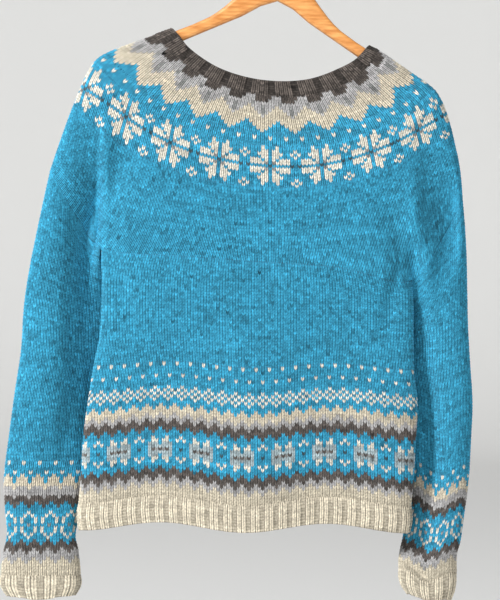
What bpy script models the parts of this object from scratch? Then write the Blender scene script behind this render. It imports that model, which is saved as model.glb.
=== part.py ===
"""Seamless round-yoke pullover in thick wool, hanging on a wooden hanger with a wire hook.

Sizes are millimetres, X to the right, Y away from the near side and Z up, from the top of the hook's
inside, where it hangs on its rail. Each knitted piece is a tube: closed rings run round it from its top
to its bottom, and its wall lies inside them.
"""

import math

import bpy
import numpy as np

MM = 0.001

# The cloth
WALL = 2.4
SEAM = 0.3
# A rib's first ring cuts the corners of the coarser ring above it, so it starts a little lower
RIB_SEAM = 0.45
RIB_HEIGHT = 1.3
FOLD_FULLNESS = 3.0
TUBE_FULLNESS = 2.6

# Points round each stretch of a ring
BODY_STEPS = 22
SLEEVE_STEPS = 18
UNDERARM_STEPS = 5
DENSE = 72
COLUMN_STEPS = 8
# How a smooth curve's pace follows the distance between its points
PACE = 0.5
# Where the body and the sleeves lie along the yoke's last ring
FAR_START = BODY_STEPS + SLEEVE_STEPS
BODY_STRETCHES = ((0, BODY_STEPS), (FAR_START, FAR_START + BODY_STEPS))
BODY_CORNERS = ((-1, 1), (1, -1))
SLEEVE_STRETCHES = {
    "left": (FAR_START + BODY_STEPS, FAR_START + BODY_STEPS + SLEEVE_STEPS),
    "right": (BODY_STEPS, FAR_START),
}
RIB_STITCHES = 4
NECK_RIBS = 32
HEM_RIBS = 51
CUFF_RIBS = 9

# The yoke's near side, a row for each round: (x, z) where nine of its columns cross that round.
# The half depth is half of the yoke's thickness from near to far, at its fullest.
YOKE_COLUMNS = (
    "left_fold left_sleeve left_underarm left_chest centre "
    "right_chest right_underarm right_sleeve right_fold"
).split()
YOKE_ROUNDS = {
    "neck": (
        (-180, -154), (-155, -176), (-130, -198), (-82, -224), (-25, -236),
        (29, -236), (82, -219), (105, -201), (124, -174),
    ),
    "scallops": (
        (-239, -176), (-209, -207), (-174, -235), (-110, -265), (-36, -281),
        (39, -281), (110, -262), (149, -240), (172, -207),
    ),
    "shoulder": (
        (-260, -193), (-223, -225), (-183, -256), (-114, -288), (-36, -304),
        (44, -304), (118, -282), (165, -257), (198, -227),
    ),
    "snowflakes": (
        (-274, -221), (-233, -248), (-192, -277), (-118, -311), (-36, -327),
        (49, -326), (128, -303), (172, -281), (213, -257),
    ),
    "below": (
        (-288, -255), (-251, -293), (-210, -322), (-133, -354), (-39, -368),
        (57, -364), (142, -340), (183, -315), (224, -299),
    ),
    "chest": (
        (-301, -291), (-267, -339), (-229, -374), (-142, -400), (-39, -412),
        (65, -407), (156, -386), (194, -354), (231, -335),
    ),
    "armhole": (
        (-315, -332), (-283, -388), (-247, -436), (-149, -447), (-40, -455),
        (68, -463), (166, -480), (203, -430), (234, -372),
    ),
}
YOKE_HALF_DEPTH = (20, 22, 23, 24, 26, 27, 28)
# How far the far neckline lies below the near one, at its middle
FAR_DROP = (9, 6, 4, 3, 1, 0, 0)
# The neckband's upper edge, at the same nine columns
BAND_TOP = (
    (-152, -144), (-142, -156), (-130, -171), (-90, -198), (-33, -214),
    (28, -213), (76, -195), (92, -185), (108, -167),
)
BAND_TOP_HALF_DEPTH = 19
BAND_TOP_FAR_DROP = 9

# Soft valleys that run down the yoke beside the arms.
# side, place across (0 left fold, 1 right fold), width, depth at each of the yoke's rounds
YOKE_VALLEYS = (
    ("near", 0.165, 0.040, (0, 0, 0, 1, 6, 12, 16)),
    ("near", 0.925, 0.045, (0, 0, 0, 1, 5, 7, 7)),
    ("near", 0.817, 0.030, (0, 0, 0, 0, 0, 4, 13)),
    ("far", 0.175, 0.040, (0, 0, 0, 1, 4, 9, 14)),
    ("far", 0.825, 0.040, (0, 0, 0, 0, 3, 8, 14)),
)

# The body, a row for each round: left edge x and z, right edge x and z, half depth,
# rise of its two waves, and how much of the armhole's form is left there
BODY_ROUNDS = (
    (-247, -436, 166, -480, 28, 0, 1.00),
    (-247, -458, 167, -492, 28, 1, 0.55),
    (-246, -492, 168, -512, 28, 2, 0.15),
    (-249, -552, 168, -555, 27, 5, 0.00),
    (-257, -592, 169, -598, 27, 7, 0.00),
    (-264, -636, 173, -641, 28, 9, 0.00),
    (-271, -689, 171, -696, 29, 10, 0.00),
    (-274, -739, 168, -747, 30, 11, 0.00),
    (-277, -775, 165, -779, 30, 12, 0.00),
)
HEM_ROUNDS = (
    (-278, -794, 165, -798, 31, 12, 0.00),
    (-276, -810, 162, -814, 31, 12, 0.00),
)
# The body's two edges lie a little nearer than its middle, and its waves also swell in depth
BODY_EDGE_FORWARD = 10
BODY_EDGE_SHARPNESS = 6
BODY_EDGE_SHARE = 0.02
UNDULATION = 0.35
FAR_UNDULATION = 0.25

# The sleeves, a row for each round: left end x and z, right end x and z, half depth, how far the
# inner edge lies back, how much of the armhole's form is left, depth and place of the lengthwise
# trough, and how far the near side dips at its lowest
SLEEVE_COLUMNS = "left_x left_z right_x right_z half back armhole trough place dip".split()
LEFT_SLEEVE = (
    (-315, -332, -247, -436, 24, 2, 1.00, 0, 0.80, 0),
    (-324, -372, -250, -450, 23, 6, 0.55, 4, 0.78, 0),
    (-332, -410, -247, -470, 22, 12, 0.15, 8, 0.76, 0),
    (-342, -459, -241, -503, 21, 15, 0.00, 9, 0.74, 0),
    (-350, -512, -240, -539, 20, 13, 0.00, 8, 0.72, 0),
    (-354, -572, -245, -585, 20, 13, 0.00, 7, 0.72, 0),
    (-362, -625, -252, -632, 19, 13, 0.00, 6, 0.74, 0),
    (-370, -685, -261, -686, 18, 12, 0.00, 4, 0.76, 0),
    (-377, -745, -267, -745, 17, 11, 0.00, 2, 0.80, 0),
    (-375, -787, -274, -786, 16, 8, 0.00, 0, 0.80, 0),
    (-373, -819, -281, -819, 15, 3, 0.00, 0, 0.80, 0),
    (-378, -842, -277, -839, 15, 1, 0.00, 0, 0.80, 0),
    (-381, -871, -274, -871, 15, 0, 0.00, 0, 0.80, 0),
)
LEFT_CUFF = (
    (-380, -886, -275, -886, 15, 0, 0.00, 0, 0.80, 2),
    (-372, -899, -282, -898, 14, 0, 0.00, 0, 0.80, 4),
)
RIGHT_SLEEVE = (
    (166, -480, 234, -372, 24, 2, 1.00, 0, 0.30, 0),
    (169, -498, 237, -408, 23, 6, 0.55, 0, 0.30, 0),
    (172, -516, 239, -446, 22, 9, 0.15, 0, 0.25, 0),
    (170, -537, 240, -490, 21, 11, 0.00, 0, 0.20, 0),
    (166, -566, 241, -539, 20, 12, 0.00, 0, 0.20, 4),
    (166, -601, 244, -592, 19, 12, 0.00, 2, 0.20, 12),
    (168, -641, 247, -641, 19, 12, 0.00, 4, 0.22, 24),
    (167, -689, 245, -692, 18, 12, 0.00, 7, 0.30, 34),
    (164, -739, 242, -745, 17, 12, 0.00, 7, 0.32, 37),
    (160, -787, 236, -790, 16, 19, 0.00, 4, 0.36, 27),
    (154, -825, 231, -826, 15, 19, 0.00, 2, 0.40, 20),
    (149, -846, 226, -846, 15, 10, 0.00, 0, 0.40, 18),
    (148, -862, 226, -868, 15, 0, 0.00, 0, 0.40, 14),
)
RIGHT_CUFF = (
    (151, -882, 224, -888, 15, 0, 0.00, 0, 0.40, 8),
    (160, -896, 218, -904, 14, 0, 0.00, 0, 0.40, 5),
)
SLEEVE_EDGE_SHARE = 0.08
FOLDED_EDGE_SHARE = 0.001
BACK_POWER = 1.5
FAR_TROUGH = 0.4
# How far the wall's inner corner at an underarm lies below its outer one, as a share of the wall
CORNER_DROP = 0.3
SHARP_ANGLE = math.radians(50)
TROUGH_WIDTH = 0.20
DIP_PLACE = 0.38
DIP_REACH = 0.45

# The hanger, half of its outline in its own frame: out from its middle, up from the point where its
# two lower edges meet
HANGER_TILT = math.radians(6.1)
HANGER_THICKNESS = 14
HANGER_ROUNDING = 4
HANGER_UPPER = (
    (16, 34), (31, 24), (49, 6), (69, -16), (88, -32), (130, -55), (152, -65), (182, -80),
    (203, -92), (211, -100),
)
HANGER_LOWER = ((211, -107), (202, -110), (165, -92), (120, -67), (45, -26))
HANGER_TOP = 36
HANGER_BOTTOM = -1

# The hook, a wire that rises from the hanger's middle and turns over the rail
WIRE_RADIUS = 1.75
HOOK_RADIUS = 22
HOOK_CENTRE = (3.1, 87.5)
HOOK_START = math.radians(-70)
HOOK_END = math.radians(208)
HOOK_STEPS = 30
STEM_POINTS = ((0, HANGER_TOP + SEAM), (0, 58), (2.5, 64))

COLOURS = {
    "wool_blue": ((0.105, 0.365, 0.482), 0.85, 0.0),
    "wool_cream": ((0.78, 0.71, 0.56), 0.85, 0.0),
    "wool_charcoal": ((0.10, 0.082, 0.072), 0.85, 0.0),
    "pine": ((0.66, 0.35, 0.14), 0.45, 0.0),
    "steel": ((0.60, 0.60, 0.60), 0.25, 1.0),
}


def through(points, steps, power):
    """A smooth curve through the points, in any number of dimensions, with steps spans between each two."""
    points = np.asarray(points, float)
    gaps = np.linalg.norm(np.diff(points, axis=0), axis=1) ** power
    places = np.concatenate([[0], np.cumsum(gaps)])
    slopes = np.diff(points, axis=0) / gaps[:, None]
    tangents = np.empty_like(points)
    tangents[0] = slopes[0]
    tangents[-1] = slopes[-1]
    for i in range(1, len(points) - 1):
        wide = (points[i + 1] - points[i - 1]) / (places[i + 1] - places[i - 1])
        tangents[i] = slopes[i - 1] + slopes[i] - wide
    found = []
    for i, gap in enumerate(gaps):
        for t in np.arange(steps) / steps:
            start = (2 * t**3 - 3 * t**2 + 1) * points[i] + (t**3 - 2 * t**2 + t) * gap * tangents[i]
            end = (3 * t**2 - 2 * t**3) * points[i + 1] + (t**3 - t**2) * gap * tangents[i + 1]
            found.append(start + end)
    return np.array(found + [points[-1]])


def lengths_along(line):
    return np.concatenate([[0], np.cumsum(np.linalg.norm(np.diff(line, axis=0), axis=1))])


def at_shares(line, shares):
    """The points of a line at these shares of its length."""
    along = lengths_along(line)
    return np.stack([np.interp(shares * along[-1], along, line[:, k]) for k in range(line.shape[1])], axis=1)


def evenly(line, steps):
    """The start of each of the equal steps along a line, without its end."""
    return at_shares(line, np.arange(steps) / steps)


def depth_share(across, fullness):
    """How deep a flattened tube is at a place across it, from 0 at its folds to 1 in its middle."""
    return np.maximum(0, 1 - np.abs(2 * across - 1) ** fullness) ** (1 / fullness)


def flat_loop(near, far, cuts, depth):
    """The four stretches of a closed loop: near side, right end, far side and left end.

    near and far are its two lines in the X-Z plane, from the left fold to the right fold, cuts the
    places across where the two ends begin, and depth(side, across) is the loop's Y.
    """
    across = np.unique(np.concatenate([0.5 - 0.5 * np.cos(np.linspace(0, math.pi, DENSE)), cuts]))
    sides = {}
    for side, line in (("near", near), ("far", far)):
        flat = at_shares(line, across)
        sides[side] = np.stack([flat[:, 0], depth(side, across), flat[:, 1]], axis=1)
    left, right = (int(np.searchsorted(across, cut)) for cut in cuts)
    near_side = sides["near"][left : right + 1]
    far_side = sides["far"][left : right + 1][::-1]
    right_end = np.concatenate([sides["near"][right:], sides["far"][right:-1][::-1]])
    left_end = np.concatenate([sides["far"][: left + 1][::-1], sides["near"][1 : left + 1]])
    return near_side, right_end, far_side, left_end


def yoke_columns():
    """The yoke's rounds with one more between each two: columns, half depth, far drop, valley depths."""
    table = []
    for i, line in enumerate(YOKE_ROUNDS.values()):
        valleys = [valley[3][i] for valley in YOKE_VALLEYS]
        table.append([*np.ravel(line), YOKE_HALF_DEPTH[i], FAR_DROP[i], *valleys])
    return through(table, 2, 0)


def underarm_places():
    """Where the two underarms lie across the near side, as shares of the armhole round's length."""
    line = np.asarray(YOKE_ROUNDS["armhole"], float)
    along = lengths_along(through(line, COLUMN_STEPS, PACE))
    left = COLUMN_STEPS * YOKE_COLUMNS.index("left_underarm")
    right = COLUMN_STEPS * YOKE_COLUMNS.index("right_underarm")
    return along[left] / along[-1], along[right] / along[-1]


def round_loop(columns, half_depth, far_drop, valleys, cuts, fullness):
    """The stretches of one round of the yoke or neckband."""
    near = through(columns, COLUMN_STEPS, PACE)
    share = lengths_along(near) / lengths_along(near)[-1]
    far = near.copy()
    far[:, 1] -= far_drop * np.sin(math.pi * share)

    def depth(side, across):
        y = half_depth * depth_share(across, fullness)
        for (valley_side, place, width, _), deep in zip(YOKE_VALLEYS, valleys):
            if valley_side == side:
                y = y - deep * np.exp(-(((across - place) / width) ** 2))
        return -y if side == "near" else y

    return flat_loop(near, far, cuts, depth)


def ring_of(stretches, steps):
    return np.concatenate([evenly(line, n) for line, n in zip(stretches, steps)])


def yoke_rings():
    """The yoke's rings, from the neck to the armholes. They start at the near left underarm column."""
    cuts = underarm_places()
    steps = (BODY_STEPS, SLEEVE_STEPS, BODY_STEPS, SLEEVE_STEPS)
    rings = []
    for row in yoke_columns():
        columns = row[: 2 * len(YOKE_COLUMNS)].reshape(-1, 2)
        half_depth, far_drop, *valleys = row[2 * len(YOKE_COLUMNS) :]
        stretches = round_loop(columns, half_depth, far_drop, valleys, cuts, FOLD_FULLNESS)
        rings.append(ring_of(stretches, steps))
    return np.array(rings)


def wave(across, rise):
    """The two broad waves of the rounds along the body, as a rise in Z."""
    return rise * np.sin(2 * math.pi * across) ** 2


def body_loop(left_x, left_z, right_x, right_z, half, rise):
    """A round of the body away from the armholes: near side, right edge, far side and left edge."""
    across = np.linspace(0, 1, DENSE)
    ends = np.array([(left_x, left_z), (right_x, right_z)], float)
    near = ends[0] + across[:, None] * (ends[1] - ends[0])
    near[:, 1] += wave(across, rise)

    def depth(side, across):
        forward = -BODY_EDGE_FORWARD * np.abs(2 * across - 1) ** BODY_EDGE_SHARPNESS
        share = depth_share(across, TUBE_FULLNESS)
        swell = rise * np.cos(4 * math.pi * across) * share
        if side == "near":
            return forward - half * share - UNDULATION * swell
        return forward + half * share + FAR_UNDULATION * swell

    return flat_loop(near, near, (BODY_EDGE_SHARE, 1 - BODY_EDGE_SHARE), depth)


def sleeve_loop(row, inner_is_right):
    """A round of a sleeve away from its armhole: near side, right edge, far side and left edge."""
    across = np.linspace(0, 1, DENSE)
    ends = np.array([(row["left_x"], row["left_z"]), (row["right_x"], row["right_z"])], float)
    far = ends[0] + across[:, None] * (ends[1] - ends[0])
    near = far.copy()
    from_lowest = np.minimum(1, np.abs(across - DIP_PLACE) / DIP_REACH)
    near[:, 1] -= row["dip"] * (0.5 + 0.5 * np.cos(math.pi * from_lowest))
    cuts = (FOLDED_EDGE_SHARE, 1 - SLEEVE_EDGE_SHARE)
    if not inner_is_right:
        cuts = (SLEEVE_EDGE_SHARE, 1 - FOLDED_EDGE_SHARE)

    def depth(side, across):
        inward = across if inner_is_right else 1 - across
        back = row["back"] * inward**BACK_POWER
        share = depth_share(across, TUBE_FULLNESS)
        trough = row["trough"] * np.exp(-(((across - row["place"]) / TROUGH_WIDTH) ** 2)) * share
        if side == "near":
            return back - row["half"] * share + trough
        return back + row["half"] * share - FAR_TROUGH * trough

    return flat_loop(near, far, cuts, depth)


def across_underarms(values, stretches, asides):
    """A first ring below the armholes: stretches of the yoke's last ring, with straight stitches across
    each underarm between them, a little aside so that the sleeve and the body stay apart there."""
    pieces = []
    for k, (first, last) in enumerate(stretches):
        following = stretches[(k + 1) % len(stretches)][0]
        stretch = values[np.arange(first, last + 1) % len(values)]
        stretch[0, 0] += asides[k - 1]
        stretch[-1, 0] += asides[k]
        start, end = stretch[-1], values[following % len(values)] + (asides[k], 0, 0)
        inside = np.linspace(0, 1, UNDERARM_STEPS + 1)[1:-1, None]
        pieces += [stretch, start + inside * (end - start)]
    return np.concatenate(pieces)


def body_rings(armhole):
    """The body's rings. Its first follows the yoke's last ring and crosses at the two underarms."""
    top = across_underarms(armhole, BODY_STRETCHES, (-SEAM / 2, SEAM / 2))
    top[:, 2] -= SEAM
    steps = (BODY_STEPS, UNDERARM_STEPS, BODY_STEPS, UNDERARM_STEPS)
    plain = [ring_of(body_loop(*row[:6]), steps) for row in BODY_ROUNDS]
    return np.array([ring + row[6] * (top - plain[0]) for ring, row in zip(plain, BODY_ROUNDS)])


def sleeve_rings(table, armhole, inner_is_right):
    """A sleeve's rings. Its first follows the yoke's last ring and crosses at the underarm."""
    stretch = SLEEVE_STRETCHES["left" if inner_is_right else "right"]
    top = across_underarms(armhole, (stretch,), (-SEAM / 2 if inner_is_right else SEAM / 2,))
    top[:, 2] -= SEAM
    plain = []
    for values in table:
        near, right, far, left = sleeve_loop(dict(zip(SLEEVE_COLUMNS, values)), inner_is_right)
        if inner_is_right:
            outside = np.concatenate([far, left[1:], near[1:]])
            plain.append(ring_of((outside, right), (SLEEVE_STEPS, UNDERARM_STEPS)))
        else:
            outside = np.concatenate([near, right[1:], far[1:]])
            plain.append(ring_of((outside, left), (SLEEVE_STEPS, UNDERARM_STEPS)))
    share = SLEEVE_COLUMNS.index("armhole")
    return np.array([ring + row[share] * (top - plain[0]) for ring, row in zip(plain, table)])


def neckband_rings(neck):
    """The neckband's rings, from its upper edge down to the yoke's first ring."""
    cuts = underarm_places()
    no_valleys = [0] * len(YOKE_VALLEYS)
    stretches = round_loop(
        BAND_TOP, BAND_TOP_HALF_DEPTH, BAND_TOP_FAR_DROP, no_valleys, cuts, FOLD_FULLNESS
    )
    top = ring_of(stretches, (BODY_STEPS, SLEEVE_STEPS, BODY_STEPS, SLEEVE_STEPS))
    return np.array([top, (top + neck) / 2, neck])


def normals_of(rings):
    """Outward directions at every point of the rings, which run from top to bottom."""
    around = np.roll(rings, -1, axis=1) - np.roll(rings, 1, axis=1)
    up = np.empty_like(rings)
    up[1:-1] = rings[:-2] - rings[2:]
    up[0] = rings[0] - rings[1]
    up[-1] = rings[-2] - rings[-1]
    outward = np.cross(around, up)
    return outward / np.linalg.norm(outward, axis=2, keepdims=True)


def level(normals):
    """The same directions, turned level."""
    flat = normals * (1, 1, 0)
    return flat / np.linalg.norm(flat, axis=-1, keepdims=True)


def below_armhole(normals, yoke_normals, stretches, corners):
    """A first ring's directions: the yoke's own along the stretches that it shares, and at the corners
    of an underarm those that keep the wall's width on both sides. corners says, for each stretch's two
    ends, whether the wall's outer side looks left (-1) or right (1) there."""
    normals = normals.copy()
    start = 0
    for (first, last), looks in zip(stretches, corners):
        end = start + last - first
        normals[0, start : end + 1] = yoke_normals[np.arange(first, last + 1) % len(yoke_normals)]
        for place, sideways in zip((start, end), looks):
            towards = math.copysign(1, normals[0, place, 1])
            normals[0, place] = (sideways, towards, CORNER_DROP)
        start = end + UNDERARM_STEPS
    return normals


def finer(ring, values, count):
    """Values of a ring's points at count even places along its coarse sides."""
    along = lengths_along(np.concatenate([ring, ring[:1]]))
    places = np.arange(count) / count * along[-1]
    closed = np.concatenate([values, values[:1]])
    return np.stack([np.interp(places, along, closed[:, k]) for k in range(3)], axis=1)


def ribbed(rings, normals, ribs):
    """Outer points of a rib of two raised and two plain stitches, over rings that stay plain inside."""
    count = RIB_STITCHES * ribs
    plain = np.array([finer(ring, ring, count) for ring in rings])
    outward = np.array([finer(ring, normal, count) for ring, normal in zip(rings, normals)])
    raised = np.array([1, 1, 0, 0] * ribs) * RIB_HEIGHT
    return plain + raised[None, :, None] * outward, plain - WALL * outward


def material_of(name):
    if name in bpy.data.materials:
        return bpy.data.materials[name]
    colour, roughness, metallic = COLOURS[name]
    material = bpy.data.materials.new(name)
    material.use_nodes = True
    shader = material.node_tree.nodes["Principled BSDF"]
    shader.inputs["Base Color"].default_value = (*colour, 1)
    shader.inputs["Roughness"].default_value = roughness
    shader.inputs["Metallic"].default_value = metallic
    return material


def place(obj, material):
    bpy.data.collections["pullover"].objects.link(obj)
    obj.data.materials.append(material_of(material))


def tube(name, material, outer, inner):
    """A closed wall between outer and inner rings, with a rim at its top and one at its bottom."""
    rows, count = outer.shape[:2]
    points = np.concatenate([outer.reshape(-1, 3), inner.reshape(-1, 3)]) * MM
    inside = rows * count
    faces = []
    for j in range(count):
        k = (j + 1) % count
        for i in range(rows - 1):
            a, b, c, d = i * count + j, (i + 1) * count + j, (i + 1) * count + k, i * count + k
            faces.append((a, b, c, d))
            faces.append((inside + d, inside + c, inside + b, inside + a))
        last = (rows - 1) * count
        faces.append((j, k, inside + k, inside + j))
        faces.append((last + j, inside + last + j, inside + last + k, last + k))
    mesh = bpy.data.meshes.new(name)
    mesh.from_pydata([tuple(p) for p in points], [], faces)
    mesh.shade_smooth()
    mesh.set_sharp_from_angle(angle=SHARP_ANGLE)
    obj = bpy.data.objects.new(name, mesh)
    place(obj, material)


def plain_tube(name, material, rings, normals):
    tube(name, material, rings, rings - WALL * normals)


def lowered(rings, first, last):
    """The rings with their top and bottom drawn in along the cloth, to leave half a seam at each."""
    rings = rings.copy()
    for end, neighbour, gap in ((0, 1, first), (-1, -2, last)):
        towards = rings[neighbour] - rings[end]
        rings[end] += gap * towards / np.linalg.norm(towards, axis=1, keepdims=True)
    return rings


def from_hanger_frame(out, up):
    """X and Z of a point of the hanger's own frame, with the hook's inside top at the origin."""
    centre_out, centre_up = HOOK_CENTRE
    out, up = out - centre_out, up - centre_up
    x = out * math.cos(HANGER_TILT) + up * math.sin(HANGER_TILT)
    z = up * math.cos(HANGER_TILT) - out * math.sin(HANGER_TILT)
    return x, z - (HOOK_RADIUS - WIRE_RADIUS)


def add_hanger():
    """The two arms in one piece, a flat outline with rounded edges."""
    right = [(0, HANGER_TOP), *HANGER_UPPER, *HANGER_LOWER, (0, HANGER_BOTTOM)]
    left = [(-out, up) for out, up in right[-2:0:-1]]
    outline = through([*right, *left, right[0]], 2, PACE)[:-1]
    curve = bpy.data.curves.new("hanger", "CURVE")
    curve.dimensions = "2D"
    curve.fill_mode = "BOTH"
    curve.extrude = (HANGER_THICKNESS / 2 - HANGER_ROUNDING) * MM
    curve.bevel_depth = HANGER_ROUNDING * MM
    curve.bevel_resolution = 1
    curve.offset = -HANGER_ROUNDING * MM
    spline = curve.splines.new("POLY")
    spline.points.add(len(outline) - 1)
    spline.use_cyclic_u = True
    for point, (out, up) in zip(spline.points, outline):
        x, z = from_hanger_frame(out, up)
        point.co = (x * MM, z * MM, 0, 1)
    obj = bpy.data.objects.new("hanger", curve)
    obj.rotation_euler = (math.pi / 2, 0, 0)
    place(obj, "pine")


def add_hook():
    angles = np.linspace(HOOK_START, HOOK_END, HOOK_STEPS)
    bend = [
        (HOOK_CENTRE[0] + HOOK_RADIUS * math.cos(a), HOOK_CENTRE[1] + HOOK_RADIUS * math.sin(a))
        for a in angles
    ]
    path = [from_hanger_frame(out, up) for out, up in [*STEM_POINTS, *bend]]
    curve = bpy.data.curves.new("hanger_hook", "CURVE")
    curve.dimensions = "3D"
    curve.bevel_depth = WIRE_RADIUS * MM
    curve.bevel_resolution = 2
    curve.use_fill_caps = True
    spline = curve.splines.new("POLY")
    spline.points.add(len(path) - 1)
    for point, (x, z) in zip(spline.points, path):
        point.co = (x * MM, 0, z * MM, 1)
    obj = bpy.data.objects.new("hanger_hook", curve)
    place(obj, "steel")


def add_garment():
    yoke = yoke_rings()
    body = body_rings(yoke[-1])
    neckband = neckband_rings(yoke[0])
    neck_normals = normals_of(np.concatenate([neckband[:-1], yoke]))
    yoke_normals = neck_normals[len(neckband) - 1 :]
    yoke_normals[-1] = level(yoke_normals[-1])
    plain_tube("yoke", "wool_blue", lowered(yoke, SEAM / 2, 0), yoke_normals)
    band = lowered(neckband, 0, SEAM / 2)
    outer, inner = ribbed(band, neck_normals[: len(neckband)], NECK_RIBS)
    tube("neckband", "wool_charcoal", outer, inner)

    hem = [ring_of(body_loop(*row[:6]), (BODY_STEPS, UNDERARM_STEPS) * 2) for row in HEM_ROUNDS]
    hem = np.array([body[-1], *hem])
    side_normals = normals_of(np.concatenate([body, hem[1:]]))
    side_normals = below_armhole(side_normals, yoke_normals[-1], BODY_STRETCHES, BODY_CORNERS)
    plain_tube("body", "wool_blue", lowered(body, 0, SEAM / 2), side_normals[: len(body)])
    outer, inner = ribbed(lowered(hem, RIB_SEAM, 0), side_normals[len(body) - 1 :], HEM_RIBS)
    tube("hem_rib", "wool_cream", outer, inner)

    for side, sleeve_rows, cuff_rows, inner_is_right in (
        ("left", LEFT_SLEEVE, LEFT_CUFF, True),
        ("right", RIGHT_SLEEVE, RIGHT_CUFF, False),
    ):
        rings = sleeve_rings(sleeve_rows + cuff_rows, yoke[-1], inner_is_right)
        looks = (1, 1) if inner_is_right else (-1, -1)
        stretch = SLEEVE_STRETCHES[side]
        normals = below_armhole(normals_of(rings), yoke_normals[-1], (stretch,), (looks,))
        last = len(sleeve_rows)
        sleeve = lowered(rings[:last], 0, SEAM / 2)
        plain_tube("sleeve_" + side, "wool_blue", sleeve, normals[:last])
        cuff = lowered(rings[last - 1 :], RIB_SEAM, 0)
        outer, inner = ribbed(cuff, normals[last - 1 :], CUFF_RIBS)
        tube("cuff_" + side, "wool_cream", outer, inner)


for existing in list(bpy.data.objects):
    bpy.data.objects.remove(existing, do_unlink=True)
bpy.context.scene.collection.children.link(bpy.data.collections.new("pullover"))
add_garment()
add_hanger()
add_hook()
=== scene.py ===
"""Seamless round-yoke pullover in thick wool, knitted stitch by stitch, on a wooden hanger with a wire hook.

Sizes are millimetres, X to the right, Y away from the near side and Z up, from the top of the hook's
inside. Each knitted piece is a tube: rings run round it from its top to its bottom, and its stitches
stand on them. A wale is a column of stitches, and a round is a row of them.
"""

import math

import bpy
import mathutils
import numpy as np
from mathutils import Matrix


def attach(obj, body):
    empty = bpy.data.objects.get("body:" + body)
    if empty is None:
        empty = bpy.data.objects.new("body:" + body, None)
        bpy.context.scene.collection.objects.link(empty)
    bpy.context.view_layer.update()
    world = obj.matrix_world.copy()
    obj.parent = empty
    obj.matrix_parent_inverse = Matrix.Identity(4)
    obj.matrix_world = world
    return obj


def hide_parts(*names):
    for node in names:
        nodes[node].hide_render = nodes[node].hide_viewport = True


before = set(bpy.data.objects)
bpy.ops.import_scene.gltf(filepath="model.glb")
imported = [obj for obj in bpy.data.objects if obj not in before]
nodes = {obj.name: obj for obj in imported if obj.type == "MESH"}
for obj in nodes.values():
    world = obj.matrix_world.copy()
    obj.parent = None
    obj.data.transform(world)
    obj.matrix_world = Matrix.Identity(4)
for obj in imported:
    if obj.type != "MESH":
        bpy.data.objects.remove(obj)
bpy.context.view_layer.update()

MM = 0.001

# The cloth's thickness, the gap between two pieces, and how far the knit wales of a rib stand out
WALL = 2.4
SEAM = 0.3
RIB_HEIGHT = 1.3
# How full the yoke and the tubes below it are between their two folds
FOLD_FULLNESS = 3.0
TUBE_FULLNESS = 2.6

# Points round each stretch of a ring, across a side of a loop before it is spaced evenly, and between
# two columns of the yoke
BODY_STEPS = 22 * 8
SLEEVE_STEPS = 18 * 8
UNDERARM_STEPS = 5 * 8
DENSE = 300
COLUMN_STEPS = 8
# How a smooth curve's pace follows the distance between its points
PACE = 0.5
# Where the body and the sleeves lie along the yoke's last ring
FAR_START = BODY_STEPS + SLEEVE_STEPS
BODY_STRETCHES = ((0, BODY_STEPS), (FAR_START, FAR_START + BODY_STEPS))
SLEEVE_STRETCHES = {
    "left": (FAR_START + BODY_STEPS, FAR_START + BODY_STEPS + SLEEVE_STEPS),
    "right": (BODY_STEPS, FAR_START),
}
# Knit and purl stitches of a rib
RIB = "kkpp"
NECK_RIB = "kkkkppp"

# The yoke's near side, a row for each round: (x, z) where nine of its columns cross that round.
# The half depth is half of the yoke's thickness from near to far, at its fullest.
YOKE_COLUMNS = (
    "left_fold left_sleeve left_underarm left_chest centre "
    "right_chest right_underarm right_sleeve right_fold"
).split()
YOKE_ROUNDS = {
    "neck": (
        (-180, -154), (-155, -176), (-130, -198), (-82, -224), (-25, -236),
        (29, -236), (82, -219), (105, -201), (124, -174),
    ),
    "scallops": (
        (-239, -176), (-209, -207), (-174, -235), (-110, -265), (-36, -281),
        (39, -281), (110, -262), (149, -240), (172, -207),
    ),
    "shoulder": (
        (-260, -193), (-223, -225), (-183, -256), (-114, -288), (-36, -304),
        (44, -304), (118, -282), (165, -257), (198, -227),
    ),
    "snowflakes": (
        (-274, -221), (-233, -248), (-192, -277), (-118, -311), (-36, -327),
        (49, -326), (128, -303), (172, -281), (213, -257),
    ),
    "below": (
        (-288, -255), (-251, -293), (-210, -322), (-133, -354), (-39, -368),
        (57, -364), (142, -340), (183, -315), (224, -299),
    ),
    "chest": (
        (-301, -291), (-267, -339), (-229, -374), (-142, -400), (-39, -412),
        (65, -407), (156, -386), (194, -354), (231, -335),
    ),
    "armhole": (
        (-315, -332), (-283, -388), (-247, -436), (-149, -447), (-40, -455),
        (68, -463), (166, -480), (203, -430), (234, -372),
    ),
}
YOKE_HALF_DEPTH = (20, 22, 23, 24, 26, 27, 28)
# How far the far neckline lies below the near one, at its middle
FAR_DROP = (9, 6, 4, 3, 1, 0, 0)
# The neckband's upper edge, at the same nine columns
BAND_TOP = (
    (-152, -144), (-142, -156), (-130, -171), (-90, -198), (-33, -214),
    (28, -213), (76, -195), (92, -185), (108, -167),
)
BAND_TOP_HALF_DEPTH = 19
BAND_TOP_FAR_DROP = 9

# Soft valleys that run down the yoke beside the arms.
# side, place across (0 left fold, 1 right fold), width, depth at each of the yoke's rounds
YOKE_VALLEYS = (
    ("near", 0.165, 0.040, (0, 0, 0, 1, 6, 12, 16)),
    ("near", 0.925, 0.045, (0, 0, 0, 1, 5, 7, 7)),
    ("near", 0.817, 0.030, (0, 0, 0, 0, 0, 4, 13)),
    ("far", 0.175, 0.040, (0, 0, 0, 1, 4, 9, 14)),
    ("far", 0.825, 0.040, (0, 0, 0, 0, 3, 8, 14)),
)

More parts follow.
